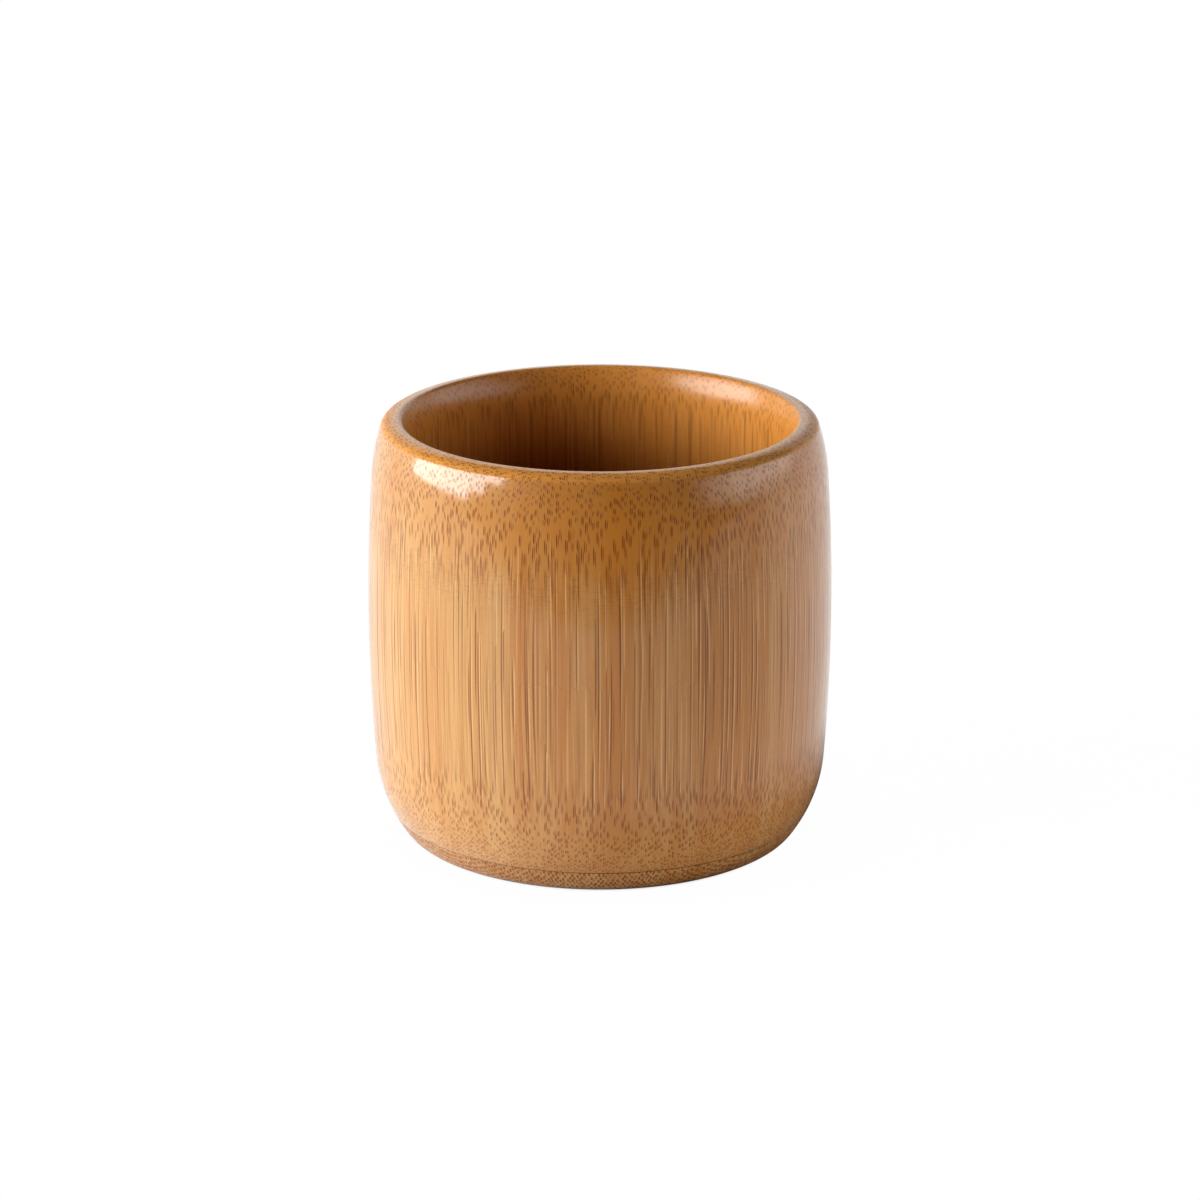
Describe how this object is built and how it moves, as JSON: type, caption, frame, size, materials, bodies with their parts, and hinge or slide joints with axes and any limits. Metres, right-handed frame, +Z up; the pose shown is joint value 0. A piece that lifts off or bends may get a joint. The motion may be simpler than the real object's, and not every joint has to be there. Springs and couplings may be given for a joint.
{
  "type": "bamboo cup",
  "caption": "Barrel-shaped bamboo drinking cup with a rounded rim and heel: a wall of upright glued staves turned smooth, standing on a laminated base board with a flush hairline seam.",
  "frame": {"origin": "centre of the underside, on the plane that the cup stands on", "axes": "+Z up along the axis of turning; the base strips run along Y, and -Y is the side that was seen"},
  "size_m": [0.08, 0.08, 0.0737],
  "materials": {
    "wall_bamboo": "satin clear lacquer",
    "base_bamboo": "satin clear lacquer"
  },
  "bodies": {
    "root": {"wall_stave_1": "wall_bamboo", "wall_stave_2": "wall_bamboo", "wall_stave_3": "wall_bamboo", "wall_stave_4": "wall_bamboo", "wall_stave_5": "wall_bamboo", "wall_stave_6": "wall_bamboo", "wall_stave_7": "wall_bamboo", "wall_stave_8": "wall_bamboo", "wall_stave_9": "wall_bamboo", "base_strip_1": "base_bamboo", "base_strip_2": "base_bamboo", "base_strip_3": "base_bamboo", "base_strip_4": "base_bamboo", "base_strip_5": "base_bamboo"}
  },
  "joints": []
}
